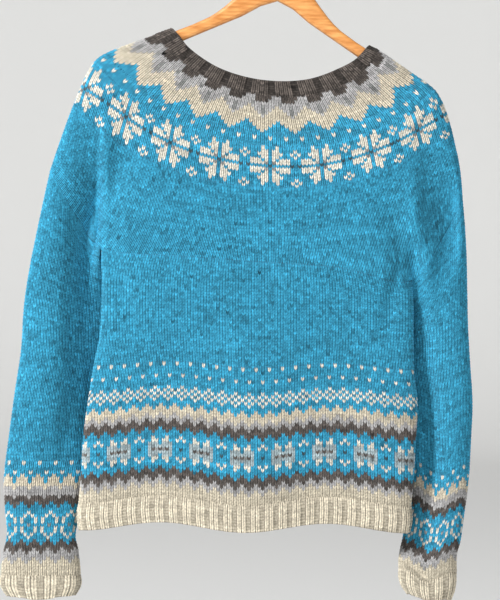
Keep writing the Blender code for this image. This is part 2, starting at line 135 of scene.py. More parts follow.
# The body, a row for each round: left edge x and z, right edge x and z, half depth,
# rise of its two waves, and how much of the armhole's form is left there
BODY_ROUNDS = (
    (-247, -436, 166, -480, 28, 0, 1.00),
    (-247, -458, 167, -492, 28, 1, 0.55),
    (-246, -492, 168, -512, 28, 2, 0.15),
    (-249, -552, 168, -555, 27, 5, 0.00),
    (-257, -592, 169, -598, 27, 7, 0.00),
    (-264, -636, 173, -641, 28, 9, 0.00),
    (-271, -689, 171, -696, 29, 10, 0.00),
    (-274, -739, 168, -747, 30, 11, 0.00),
    (-277, -775, 165, -779, 30, 12, 0.00),
)
HEM_ROUNDS = (
    (-278, -794, 165, -798, 31, 12, 0.00),
    (-276, -810, 162, -814, 31, 12, 0.00),
)
# The body's two edges lie a little nearer than its middle, and its waves also swell in depth
BODY_EDGE_FORWARD = 10
BODY_EDGE_SHARPNESS = 6
BODY_EDGE_SHARE = 0.02
UNDULATION = 0.35
FAR_UNDULATION = 0.25

# The sleeves, a row for each round: left end x and z, right end x and z, half depth, how far the
# inner edge lies back, how much of the armhole's form is left, depth and place of the lengthwise
# trough, and how far the near side dips at its lowest
SLEEVE_COLUMNS = "left_x left_z right_x right_z half back armhole trough place dip".split()
LEFT_SLEEVE = (
    (-315, -332, -247, -436, 24, 2, 1.00, 0, 0.80, 0),
    (-324, -372, -250, -450, 23, 6, 0.55, 4, 0.78, 0),
    (-332, -410, -247, -470, 22, 12, 0.15, 8, 0.76, 0),
    (-342, -459, -241, -503, 21, 15, 0.00, 9, 0.74, 0),
    (-350, -512, -240, -539, 20, 13, 0.00, 8, 0.72, 0),
    (-354, -572, -245, -585, 20, 13, 0.00, 7, 0.72, 0),
    (-362, -625, -252, -632, 19, 13, 0.00, 6, 0.74, 0),
    (-370, -685, -261, -686, 18, 12, 0.00, 4, 0.76, 0),
    (-377, -745, -267, -745, 17, 11, 0.00, 2, 0.80, 0),
    (-375, -787, -274, -786, 16, 8, 0.00, 0, 0.80, 0),
    (-373, -819, -281, -819, 15, 3, 0.00, 0, 0.80, 0),
    (-378, -842, -277, -839, 15, 1, 0.00, 0, 0.80, 0),
    (-381, -871, -274, -871, 15, 0, 0.00, 0, 0.80, 0),
)
LEFT_CUFF = (
    (-380, -886, -275, -886, 15, 0, 0.00, 0, 0.80, 2),
    (-372, -899, -282, -898, 14, 0, 0.00, 0, 0.80, 4),
)
RIGHT_SLEEVE = (
    (166, -480, 234, -372, 24, 2, 1.00, 0, 0.30, 0),
    (169, -498, 237, -408, 23, 6, 0.55, 0, 0.30, 0),
    (172, -516, 239, -446, 22, 9, 0.15, 0, 0.25, 0),
    (170, -537, 240, -490, 21, 11, 0.00, 0, 0.20, 0),
    (166, -566, 241, -539, 20, 12, 0.00, 0, 0.20, 4),
    (166, -601, 244, -592, 19, 12, 0.00, 2, 0.20, 8),
    (168, -641, 247, -641, 19, 12, 0.00, 4, 0.22, 12),
    (167, -689, 245, -692, 18, 12, 0.00, 7, 0.30, 15),
    (164, -739, 242, -745, 17, 12, 0.00, 7, 0.32, 17),
    (160, -787, 236, -790, 16, 19, 0.00, 4, 0.36, 15),
    (154, -825, 231, -826, 15, 19, 0.00, 2, 0.40, 13),
    (149, -846, 226, -846, 15, 10, 0.00, 0, 0.40, 13),
    (148, -862, 226, -868, 15, 0, 0.00, 0, 0.40, 14),
)
RIGHT_CUFF = (
    (151, -882, 224, -888, 15, 0, 0.00, 0, 0.40, 8),
    (160, -896, 218, -904, 14, 0, 0.00, 0, 0.40, 5),
)
# How much of a sleeve's width its inner and its outer edge take up
SLEEVE_EDGE_SHARE = 0.08
FOLDED_EDGE_SHARE = 0.001
# How fast the inner edge's lie towards the back fades across the sleeve
BACK_POWER = 1.5
# The lengthwise trough's width, and how much of its depth the far side has
TROUGH_WIDTH = 0.20
FAR_TROUGH = 0.4
# Where across the near side a round dips lowest, and how far the dip reaches from there
DIP_PLACE = 0.48
DIP_REACH = 0.42

# A pixel of the photograph is this many millimetres, its row 0 lies this many pixels below the origin,
# and this column of it passes through the origin
PIXEL = 1.33
PIXELS_ABOVE = 80
MIDDLE_PIXEL = 287

# Stitches: mesh lines across a stitch and down a round, how far each line across a stitch leans down to
# make its V, and the depth of the grooves between its two legs, its neighbours and its rounds
LINES = 4
ROUND_LINES = 2
LEAN = (-0.40, -0.02, 0.40, -0.02)
GROOVES = (1.5, 0.0, 1.2, 0.0)
ROUND_GROOVE = 0.5
# The lines that run down a stitch's two legs
LEGS = (1, 3)
# How deep an open edge lies, and how much every point strays
EDGE_DEPTH = 0.55
JITTER = 0.10
# Purl wales: how deep they lie, how much deeper between two rounds and beside a neighbour, and their
# width as a share of a knit wale's
PURL_BASE = 0.7
PURL_DEPTH = 0.5
PURL_SIDE = 0.2
PURL_WIDTH = 0.5
# Mesh lines over which a rib grows out of the plain knitting
RIB_GROWTH = 4
# A sleeve's wales: their width, and the share of the girth that each keeps where they are taken in
WALE = 4.45
SLEEVE_REACH = 0.0012
# A stretch starts this many rounds up behind the one above it and this deep, and ends sunk this far
UNDERLAP = 0.45
UNDERLAP_DEPTH = 0.9
EDGE_SINK = 0.2
# Painted shade in the grooves and painted highlight on the legs of the lines across a stitch, plain and in a
# rib, and how much darker painted shade makes them between rounds
STITCH_PAINTED_SHADE_HIGHLIGHT = (0.15, 1.35, 0.42, 1.35)
RIB_PAINTED_SHADE_HIGHLIGHT = (0.20, 1.35, 0.60, 1.35)
ROUND_PAINTED_SHADE = 0.74
RIB_ROUND_PAINTED_SHADE = 0.88
# Painted shade of a recessed purl wale between rounds and on them
PURL_PAINTED_SHADES = (0.48, 0.70)
# The power by which the neckband shows its painted shade and highlight more strongly
NECK_PAINTED_SHADING_POWER = 1.8
# Painted shade that darkens a tube's inside and its rims
INSIDE_PAINTED_SHADE = 0.8
RIM_PAINTED_SHADE = 0.8
# Rounds to each face of a tube's inside
ROUNDS_INSIDE = 3
# How much a stretch's number of rounds shifts its random draws
ROUND_SEED = 7
# Rings of a dense surface between two given ones, and the points of each
DENSE_ROWS = 8
DENSE_POINTS = 720
# How far, how wide, and between which depths below the origin, a sleeve is drawn in behind the body
TUCK = 9
TUCK_WIDTH = 30
TUCK_LEVELS = (400, 440, 640, 760)
# How far in from its outer fold a sleeve's reference is found
FOLD_INSET = 4

# Creases of the hanging cloth, in photograph pixels: their side, their tubes, their rows, where they
# lie in each row, how far the cloth is pressed in there in millimetres (out where negative), and
# how far each spreads to the left and to the right
EVERY = "yoke body left right"
CREASES = (
    ("near", EVERY, (110, 130, 160, 195, 231, 250, 275, 300), (99, 98, 97, 96, 93, 89, 88, 86),
     (0, 4, 10, 17, 21, 17, 7, 0), 23, 6),
    ("near", EVERY, (105, 130, 210, 240), (109, 108, 106, 105), (0, -3, -3, 0), 6, 9),
    ("near", "left", (245, 285, 400, 450, 480), (99, 99, 97, 90, 84), (0, 12, 12, 7, 0), 22, 200),
    ("near", "left", (262, 300, 400, 440, 465), (77, 73, 72, 66, 63), (0, 4, 5, 4, 0), 7, 200),
    ("near", EVERY, (150, 190, 260, 285), (417, 416, 414, 413), (0, -3, -2, 0), 8, 8),
    ("near", EVERY, (150, 180, 210, 240, 275), (446, 450, 452, 452, 450), (0, 7, 14, 10, 0), 25, 7),
    ("near", EVERY, (235, 255, 275, 300), (413, 414, 415, 416), (0, 8, 8, 0), 7, 7),
    ("near", "right", (268, 320, 395, 470, 500, 530), (416, 422, 430, 433, 432, 430),
     (0, 6, 12, 12, 6, 0), 200, 8),
    ("near", "right", (545, 556, 568, 580, 590), (392, 400, 414, 430, 440), (0, 2.5, 3, 2.5, 0), 5, 4),
    ("near", EVERY, (245, 265, 300, 340), (112, 118, 126, 140), (0, 4, 3, 0), 9, 7),
    ("near", EVERY, (255, 275, 310, 350), (403, 396, 388, 378), (0, 4, 3, 0), 7, 9),
    ("far", EVERY, (115, 160, 205, 240, 290), (101, 99, 97, 94, 90), (0, 4, 8, 7, 0), 20, 8),
    ("far", "left", (265, 300, 390, 455), (82, 78, 77, 72), (0, 4, 4, 0), 12, 30),
    ("far", EVERY, (150, 195, 235, 280), (443, 447, 448, 446), (0, 5, 6, 0), 20, 9),
    ("far", EVERY, (250, 290, 350), (122, 132, 148), (0, 4, 0), 10, 8),
    ("far", EVERY, (260, 300, 370), (398, 386, 372), (0, 4, 0), 8, 10),
)
# How fast a crease fades where the cloth turns away from its side
FACING = 1.5

# Yarns, as sRGB shares: b blue, c cream, w white, l light grey, s sky, m mid grey, d slate, k charcoal
# and n the neckband's darker charcoal
YARNS = {
    "b": (0.225, 0.620, 0.765),
    "c": (0.835, 0.795, 0.712),
    "w": (0.885, 0.868, 0.815),
    "l": (0.690, 0.685, 0.685),
    "s": (0.650, 0.715, 0.735),
    "m": (0.550, 0.555, 0.550),
    "d": (0.250, 0.330, 0.360),
    "k": (0.375, 0.350, 0.335),
    "n": (0.325, 0.298, 0.280),
}

# Charts, a line for each round from the top, one letter for each stitch of the repeat
PLAIN = ("b",)
CREAM = ("c",)
NECK_CHART = ("n",)
SCALLOPS = (
    "nnnlllnn",
    "nnllllnn",
    "lllllmll",
    "mlllclll",
    "mllcccll",
    "mlcccccl",
    "lccccccc",
    "cccccccc",
    "ccccbccc",
    "cccbbbcc",
    "ccbbbbbc",
    "cbbbbbbb",
)
DOTS = (
    "b",
    "wbbb",
    "b",
    "b",
)
SNOWFLAKES = (
    "bbwbbbbbbbbbwb",
    "bwwbbbbwbbbbww",
    "bwwwbbwbwbbwww",
    "bwwbbbbwbbbbww",
    "bwbwwwbbbwwwbw",
    "bmwwwwbbbwwwwm",
    "dbbbbbdbdbbbbb",
    "bmwwwwbbbwwwwm",
    "bwbwwwbbbwwwbw",
    "bwwbbbbbbbbbww",
    "bwwwbbbbbbbwww",
    "bwwbbbbwbbbbww",
    "bbwbbbwbwbbbwb",
    "bbbbbbbwbbbbbb",
)
BODY_BANDS = (
    "bbwb", "b", "b", "b", "wbbb", "b", "b", "b",
    "wbbb", "bwbw", "wbwb", "bwbw", "wbbb",
    "b", "bbcb", "bccc", "c", "cclc", "clll", "llkl", "lkkk", "k", "kkbk", "kbbb", "b",
    "wbbbwbbbwbbb",
    "bwbbwwbwwbbw",
    "bbbsssbsssbb",
    "bbbsssssssbb",
    "dbbskmkmksbb",
    "bbbsssssssbb",
    "bbbsssbsssbb",
    "bwbbwwbwwbbw",
    "wbbbwbbbwbbb",
    "b", "bbkb", "bkkk", "k", "kklk", "klll", "llcl", "lccc", "c", "c", "c",
)
SLEEVE_BANDS = (
    "bbwb", "b", "b", "wbbb",
    "bbcb", "bccc", "bccc", "c", "clll", "l", "l", "lkkk", "k", "kkbk", "kbbb", "b",
    "wbbbbb",
    "bwbbbw",
    "bbwbwb",
    "bbwbwb",
    "mbbbbb",
    "bbwbwb",
    "bbwbwb",
    "bwbbbw",
    "wbbbbb",
    "bbkb", "bkkk", "k", "kklk", "klll", "l", "llcl", "lccc", "c", "c", "c", "c",
)

# How much the stitches of each yarn differ in shade, and how much and over how many stitches the shade
# drifts along a round
YARN_UNEVEN = {
    "b": 0.17, "c": 0.06, "w": 0.06, "l": 0.10, "s": 0.14, "m": 0.12, "d": 0.10, "k": 0.18, "n": 0.24,
}
DRIFT_UNEVEN = 0.06
DRIFT_STITCHES = 9
# Photograph rows at the middle of the near side where the yoke's bands begin and end, where the
# body's bands begin, and where the sleeves' bands begin
YOKE_MARKS = (97.4, 134.0, 147.6, 188.6, 262.0)
BODY_BANDS_TOP = 368.0
SLEEVE_BANDS_TOP = {"left": 461.0, "right": 466.0}
# X of the wales at the middle of the near side, where the charts of the yoke and the body begin
YOKE_MIDDLE = -25
BODY_MIDDLE = -30.1

# The yoke's stretches: name, flat size in metres, rounds, stitches, chart, and the stitches by which
# the chart is turned round the tube
YOKE_STRETCHES = (
    ("yoke_scallops", (0.87, 0.055), 12, 176, SCALLOPS, -2),
    ("yoke_dots", (1.02, 0.018), 4, 192, DOTS, 0),
    ("yoke_snowflakes", (1.09, 0.057), 14, 224, SNOWFLAKES, 0),
    ("yoke_plain", (1.24, 0.118), 25, 296, PLAIN, 0),
)
BODY_STITCHES = 204
# Each sleeve: its name, its rings and its cuff's, whether its inner edge is its right one, the share
# across its near side where its bands begin, and the flat sizes of its three stretches
SLEEVES = (
    ("left", LEFT_SLEEVE, LEFT_CUFF, True, 0.3, ((0.275, 0.336), (0.23, 0.153), (0.23, 0.03))),
    ("right", RIGHT_SLEEVE, RIGHT_CUFF, False, 0.6, ((0.24, 0.295), (0.195, 0.145), (0.175, 0.034))),
)


def through(points, steps, power):
    """A smooth curve through the points, in any number of dimensions, with steps spans between each two."""
    points = np.asarray(points, float)
    gaps = np.linalg.norm(np.diff(points, axis=0), axis=1) ** power
    places = np.concatenate([[0], np.cumsum(gaps)])
    slopes = np.diff(points, axis=0) / gaps[:, None]
    tangents = np.empty_like(points)
    tangents[0] = slopes[0]
    tangents[-1] = slopes[-1]
    for i in range(1, len(points) - 1):
        wide = (points[i + 1] - points[i - 1]) / (places[i + 1] - places[i - 1])
        tangents[i] = slopes[i - 1] + slopes[i] - wide
    found = []
    for i, gap in enumerate(gaps):
        for t in np.arange(steps) / steps:
            start = (2 * t**3 - 3 * t**2 + 1) * points[i] + (t**3 - 2 * t**2 + t) * gap * tangents[i]
            end = (3 * t**2 - 2 * t**3) * points[i + 1] + (t**3 - t**2) * gap * tangents[i + 1]
            found.append(start + end)
    return np.array(found + [points[-1]])


def lengths_along(line):
    return np.concatenate([[0], np.cumsum(np.linalg.norm(np.diff(line, axis=0), axis=1))])


def at_shares(line, shares):
    """The points of a line at these shares of its length."""
    along = lengths_along(line)
    return np.stack([np.interp(shares * along[-1], along, line[:, k]) for k in range(line.shape[1])], axis=1)


def evenly(line, steps):
    """The start of each of the equal steps along a line, without its end."""
    return at_shares(line, np.arange(steps) / steps)


def depth_share(across, fullness):
    """How deep a flattened tube is at a place across it, from 0 at its folds to 1 in its middle."""
    return np.maximum(0, 1 - np.abs(2 * across - 1) ** fullness) ** (1 / fullness)


def flat_loop(near, far, cuts, depth):
    """The four stretches of a closed loop: near side, right end, far side and left end.

    near and far are its two lines in the X-Z plane, from the left fold to the right fold, cuts the
    places across where the two ends begin, and depth(side, across) is the loop's Y.
    """
    across = np.unique(np.concatenate([0.5 - 0.5 * np.cos(np.linspace(0, math.pi, DENSE)), cuts]))
    sides = {}
    for side, line in (("near", near), ("far", far)):
        flat = at_shares(line, across)
        sides[side] = np.stack([flat[:, 0], depth(side, across), flat[:, 1]], axis=1)
    left, right = (int(np.searchsorted(across, cut)) for cut in cuts)
    near_side = sides["near"][left : right + 1]
    far_side = sides["far"][left : right + 1][::-1]
    right_end = np.concatenate([sides["near"][right:], sides["far"][right:-1][::-1]])
    left_end = np.concatenate([sides["far"][: left + 1][::-1], sides["near"][1 : left + 1]])
    return near_side, right_end, far_side, left_end


def yoke_columns():
    """The yoke's rounds with one more between each two: columns, half depth, far drop, valley depths."""
    table = []
    for i, line in enumerate(YOKE_ROUNDS.values()):
        valleys = [valley[3][i] for valley in YOKE_VALLEYS]
        table.append([*np.ravel(line), YOKE_HALF_DEPTH[i], FAR_DROP[i], *valleys])
    return through(table, 2, 0)


def underarm_places():
    """Where the two underarms lie across the near side, as shares of the armhole round's length."""
    line = np.asarray(YOKE_ROUNDS["armhole"], float)
    along = lengths_along(through(line, COLUMN_STEPS, PACE))
    left = COLUMN_STEPS * YOKE_COLUMNS.index("left_underarm")
    right = COLUMN_STEPS * YOKE_COLUMNS.index("right_underarm")
    return along[left] / along[-1], along[right] / along[-1]


def round_loop(columns, half_depth, far_drop, valleys, cuts, fullness):
    """The stretches of one round of the yoke or neckband."""
    near = through(columns, COLUMN_STEPS, PACE)
    share = lengths_along(near) / lengths_along(near)[-1]
    far = near.copy()
    far[:, 1] -= far_drop * np.sin(math.pi * share)

    def depth(side, across):
        y = half_depth * depth_share(across, fullness)
        for (valley_side, place, width, _), deep in zip(YOKE_VALLEYS, valleys):
            if valley_side == side:
                y = y - deep * np.exp(-(((across - place) / width) ** 2))
        return -y if side == "near" else y

    return flat_loop(near, far, cuts, depth)


def ring_of(stretches, steps):
    return np.concatenate([evenly(line, n) for line, n in zip(stretches, steps)])


def yoke_rings():
    """The yoke's rings, from the neck to the armholes. They start at the near left underarm column."""
    cuts = underarm_places()
    steps = (BODY_STEPS, SLEEVE_STEPS, BODY_STEPS, SLEEVE_STEPS)
    rings = []
    for row in yoke_columns():
        columns = row[: 2 * len(YOKE_COLUMNS)].reshape(-1, 2)
        half_depth, far_drop, *valleys = row[2 * len(YOKE_COLUMNS) :]
        stretches = round_loop(columns, half_depth, far_drop, valleys, cuts, FOLD_FULLNESS)
        rings.append(ring_of(stretches, steps))
    return np.array(rings)


def wave(across, rise):
    """The two broad waves of the rounds along the body, as a rise in Z."""
    return rise * np.sin(2 * math.pi * across) ** 2


def body_loop(left_x, left_z, right_x, right_z, half, rise):
    """A round of the body away from the armholes: near side, right edge, far side and left edge."""
    across = np.linspace(0, 1, DENSE)
    ends = np.array([(left_x, left_z), (right_x, right_z)], float)
    near = ends[0] + across[:, None] * (ends[1] - ends[0])
    near[:, 1] += wave(across, rise)

    def depth(side, across):
        forward = -BODY_EDGE_FORWARD * np.abs(2 * across - 1) ** BODY_EDGE_SHARPNESS
        share = depth_share(across, TUBE_FULLNESS)
        swell = rise * np.cos(4 * math.pi * across) * share
        if side == "near":
            return forward - half * share - UNDULATION * swell
        return forward + half * share + FAR_UNDULATION * swell

    return flat_loop(near, near, (BODY_EDGE_SHARE, 1 - BODY_EDGE_SHARE), depth)


def sleeve_loop(row, inner_is_right):
    """A round of a sleeve away from its armhole: near side, right edge, far side and left edge."""
    across = np.linspace(0, 1, DENSE)
    ends = np.array([(row["left_x"], row["left_z"]), (row["right_x"], row["right_z"])], float)
    far = ends[0] + across[:, None] * (ends[1] - ends[0])
    near = far.copy()
    from_lowest = np.minimum(1, np.abs(across - DIP_PLACE) / DIP_REACH)
    near[:, 1] -= row["dip"] * (0.5 + 0.5 * np.cos(math.pi * from_lowest))
    cuts = (FOLDED_EDGE_SHARE, 1 - SLEEVE_EDGE_SHARE)
    if not inner_is_right:
        cuts = (SLEEVE_EDGE_SHARE, 1 - FOLDED_EDGE_SHARE)

    def depth(side, across):
        inward = across if inner_is_right else 1 - across
        back = row["back"] * inward**BACK_POWER
        share = depth_share(across, TUBE_FULLNESS)
        trough = row["trough"] * np.exp(-(((across - row["place"]) / TROUGH_WIDTH) ** 2)) * share
        if side == "near":
            return back - row["half"] * share + trough
        return back + row["half"] * share - FAR_TROUGH * trough

    return flat_loop(near, far, cuts, depth)


def across_underarms(values, stretches, asides):
    """A first ring below the armholes: stretches of the yoke's last ring, with straight stitches across
    each underarm between them, a little aside so that the sleeve and the body stay apart there."""
    pieces = []
    for k, (first, last) in enumerate(stretches):
        following = stretches[(k + 1) % len(stretches)][0]
        stretch = values[np.arange(first, last + 1) % len(values)]
        stretch[0, 0] += asides[k - 1]
        stretch[-1, 0] += asides[k]
        start, end = stretch[-1], values[following % len(values)] + (asides[k], 0, 0)
        inside = np.linspace(0, 1, UNDERARM_STEPS + 1)[1:-1, None]
        pieces += [stretch, start + inside * (end - start)]
    return np.concatenate(pieces)


def body_rings(armhole):
    """The body's rings. Its first follows the yoke's last ring and crosses at the two underarms."""
    top = across_underarms(armhole, BODY_STRETCHES, (-SEAM / 2, SEAM / 2))
    top[:, 2] -= SEAM
    steps = (BODY_STEPS, UNDERARM_STEPS, BODY_STEPS, UNDERARM_STEPS)
    plain = [ring_of(body_loop(*row[:6]), steps) for row in BODY_ROUNDS]
    return np.array([ring + row[6] * (top - plain[0]) for ring, row in zip(plain, BODY_ROUNDS)])


def sleeve_rings(table, armhole, inner_is_right):
    """A sleeve's rings. Its first follows the yoke's last ring and crosses at the underarm."""
    stretch = SLEEVE_STRETCHES["left" if inner_is_right else "right"]
    top = across_underarms(armhole, (stretch,), (-SEAM / 2 if inner_is_right else SEAM / 2,))
    top[:, 2] -= SEAM
    plain = []
    for values in table:
        near, right, far, left = sleeve_loop(dict(zip(SLEEVE_COLUMNS, values)), inner_is_right)
        if inner_is_right:
            outside = np.concatenate([far, left[1:], near[1:]])
            plain.append(ring_of((outside, right), (SLEEVE_STEPS, UNDERARM_STEPS)))
        else:
            outside = np.concatenate([near, right[1:], far[1:]])
            plain.append(ring_of((outside, left), (SLEEVE_STEPS, UNDERARM_STEPS)))
    share = SLEEVE_COLUMNS.index("armhole")
    return np.array([ring + row[share] * (top - plain[0]) for ring, row in zip(plain, table)])


def neckband_rings(neck):
    """The neckband's rings, from its upper edge down to the yoke's first ring."""
    cuts = underarm_places()
    no_valleys = [0] * len(YOKE_VALLEYS)
    stretches = round_loop(
        BAND_TOP, BAND_TOP_HALF_DEPTH, BAND_TOP_FAR_DROP, no_valleys, cuts, FOLD_FULLNESS
    )
    top = ring_of(stretches, (BODY_STEPS, SLEEVE_STEPS, BODY_STEPS, SLEEVE_STEPS))
    return np.array([top, (top + neck) / 2, neck])


def behind_body(rings, inner_is_right):
    """The sleeve's rings with their inner edge drawn a little further behind the body."""
    inward = 1 if inner_is_right else -1
    drawn = rings.copy()
    for ring in drawn:
        x = ring[:, 0] * inward
        near_edge = np.clip((x - x.max() + TUCK_WIDTH) / TUCK_WIDTH, 0, 1) ** 2
        level = ring[:, 2].mean()
        amount = np.interp(-level, TUCK_LEVELS, (0, TUCK, TUCK, 0))
        ring[:, 0] += inward * amount * near_edge
    return drawn


def level_of(pixel):
    """Z of a photograph row."""
    return -(pixel + PIXELS_ABOVE) * PIXEL


def crossings(closed, x):
    """Where a closed ring crosses this X: the lengths along it, and their Y."""
    along = lengths_along(closed)
    before, after = closed[:-1], closed[1:]
    i = np.flatnonzero((before[:, 0] <= x) != (after[:, 0] <= x))
    share = (x - before[i, 0]) / (after[i, 0] - before[i, 0])
    return along[i] + share * (along[i + 1] - along[i]), before[i, 1]


def across_near(x):
    """A reference where a ring's near side crosses this X."""

    def start(closed):
        places, depths = crossings(closed, x)
        return places[np.argmin(depths)]

    return start


def share_across(share):
    """A reference at this share of the way across a ring's near side."""

    def start(closed):
        left, right = closed[:, 0].min(), closed[:, 0].max()
        places, depths = crossings(closed, left + share * (right - left))
        return places[np.argmin(depths)]

    return start


def outer_fold(inner_is_right):
    """A reference at a sleeve's outer fold, halfway between its two sides."""

    def start(closed):
        x = closed[:, 0].min() + FOLD_INSET if inner_is_right else closed[:, 0].max() - FOLD_INSET
        return crossings(closed, x)[0].mean()

    return start


def dense_rings(rings, start_of):
    """Rings close together, each of evenly spaced points from the place that start_of finds on it."""
    flat = through(rings.reshape(len(rings), -1), DENSE_ROWS, PACE)
    found = []
    for ring in flat.reshape(len(flat), -1, 3):
        closed = np.concatenate([ring, ring[:1]])
        along = lengths_along(closed)
        places = (start_of(closed) + np.arange(DENSE_POINTS) / DENSE_POINTS * along[-1]) % along[-1]
        found.append(np.stack([np.interp(places, along, closed[:, k]) for k in range(3)], axis=1))
    return np.array(found)


def smooth_normals(rings):
    around = np.roll(rings, -2, axis=1) - np.roll(rings, 2, axis=1)
    up = np.empty_like(rings)
    up[1:-1] = rings[:-2] - rings[2:]
    up[0] = rings[0] - rings[1]
    up[-1] = rings[-2] - rings[-1]
    outward = np.cross(around, up)
    return outward / np.linalg.norm(outward, axis=2, keepdims=True)


def creased(points, normals, tube):
    """The points with the cloth's creases pressed in."""
    row = -points[..., 2] / PIXEL - PIXELS_ABOVE
    column = points[..., 0] / PIXEL + MIDDLE_PIXEL
    found = points.copy()
    for side, tubes, rows, places, depths, left, right in CREASES:
        if tube not in tubes.split():
            continue
        inward = 1 if side == "near" else -1
        aside = column - np.interp(row, rows, places)
        spread = np.where(aside < 0, left, right)
        depth = np.interp(row, rows, depths) * np.exp(-((aside / spread) ** 2))
        found[..., 1] += inward * depth * np.clip(-inward * normals[..., 1] * FACING, 0, 1)
    return found


class Surface:
    """A tube's outer surface before its stitches, read at a row and at a share of the way round it."""

    def __init__(self, rings, start_of, tube):
        plain = dense_rings(rings, start_of)
        self.points = creased(plain, smooth_normals(plain), tube)
        self.normals = smooth_normals(self.points)
        step = np.diff(self.points[:, 0], axis=0)
        self.along = np.concatenate([[0], np.cumsum(np.linalg.norm(step, axis=1))])
        size = np.roll(self.points, -1, axis=1) - self.points
        self.girth = np.linalg.norm(size, axis=2).sum(axis=1)

    def row_at_level(self, z):
        """The row where the reference wale passes this height."""
        levels = self.points[:, 0, 2]
        return np.interp(-z, -levels, np.arange(len(levels)))

    def rows_between(self, top, bottom, shares):
        """Rows at these shares of the reference wale's length from one row to another."""
        ends = np.interp([top, bottom], np.arange(len(self.along)), self.along)
        lengths = ends[0] + shares * (ends[1] - ends[0])
        above = np.minimum(0, lengths / (self.along[1] - self.along[0]))
        return np.interp(lengths, self.along, np.arange(len(self.along))) + above

    def read(self, values, rows, shares):
        low = np.clip(np.floor(rows).astype(int), 0, len(values) - 2)
        down = (rows - low)[..., None]
        places = (shares % 1) * DENSE_POINTS
        left = places.astype(int) % DENSE_POINTS
        right = (left + 1) % DENSE_POINTS
        across = (places - places.astype(int))[..., None]
        upper = values[low, left] * (1 - across) + values[low, right] * across
        lower = values[low + 1, left] * (1 - across) + values[low + 1, right] * across
        return upper * (1 - down) + lower * down

    def at(self, rows, shares):
        """Points and outward directions."""
        points = self.read(self.points, rows, shares)
        normals = self.read(self.normals, rows, shares)
        return points, normals / np.linalg.norm(normals, axis=-1, keepdims=True)


def linear(colour):
    """The linear values of sRGB shares."""
    colour = np.asarray(colour)
    return np.where(colour <= 0.04045, colour / 12.92, ((colour + 0.055) / 1.055) ** 2.4)


def charted(chart, rounds, stitches, offset):
    """The yarn of every stitch, as its letter."""
    lines = [chart[i % len(chart)] for i in range(rounds)]
    return [[line[(j - offset) % len(line)] for j in range(stitches)] for line in lines]


def heathered(letters, rng):
    """The linear colour of every stitch, with the unevenness of dyed wool from stitch to stitch and
    along each round."""
    colours = np.array([[linear(YARNS[letter]) for letter in line] for line in letters])
    uneven = np.array([[YARN_UNEVEN[letter] for letter in line] for line in letters])
    rounds, stitches = uneven.shape
    single = uneven * rng.normal(0, 1, (rounds, stitches))
    drift = rng.normal(0, 1, (rounds, stitches))
    kernel = np.ones(DRIFT_STITCHES) / math.sqrt(DRIFT_STITCHES)
    smoothed = [np.convolve(np.tile(line, 3), kernel, "same") for line in drift]
    drift = np.array(smoothed)[:, stitches : 2 * stitches]
    shade = 1 + single + DRIFT_UNEVEN * drift
    return np.clip(colours * shade[..., None], 0, 1)


def taken_in(surface, rows, count, lines, wale):
    """Shares of the way round for columns whose wales keep their width on both sides of the reference
    and are taken in opposite it. count is the number of columns, and lines how many a stitch has."""
    number = np.arange(count)
    signed = np.where(number < count / 2, number, number - count) / lines
    girth = np.interp(rows, np.arange(len(surface.girth)), surface.girth)
    beyond = 0.5 - SLEEVE_REACH * (count / lines / 2 - np.abs(signed))
    return np.sign(signed) * np.minimum(np.abs(signed) * wale / girth, beyond)


def stitch_heights(line, phase, purl, rise):
    """How far the points of the stitches stand out, where rise is how far a rib has grown."""
    between = (line % ROUND_LINES == 0)[:, None]
    knitted = -(np.array(GROOVES)[phase] + np.where(between, ROUND_GROOVE, 0) * np.isin(phase, LEGS))
    purled = -PURL_BASE - PURL_DEPTH * between - PURL_SIDE * (phase == 0)
    ribbed = np.where(purl, purled, knitted + RIB_HEIGHT)
    return knitted + rise * (ribbed - knitted)


def painted_stitch_shading(line, phase, purl, rise):
    """Painted shade and highlight of the points of the stitches, dark in the grooves and light on the legs,
    where rise is how far a rib has grown.
    """
    between = (line % ROUND_LINES == 0)[:, None]
    knitted = np.array(STITCH_PAINTED_SHADE_HIGHLIGHT)[phase] * np.where(between, ROUND_PAINTED_SHADE, 1)
    ribbed = np.array(RIB_PAINTED_SHADE_HIGHLIGHT)[phase] * np.where(between, RIB_ROUND_PAINTED_SHADE, 1)
    ribbed = np.where(purl, np.where(between, *PURL_PAINTED_SHADES), ribbed)
    return knitted + rise * (ribbed - knitted)


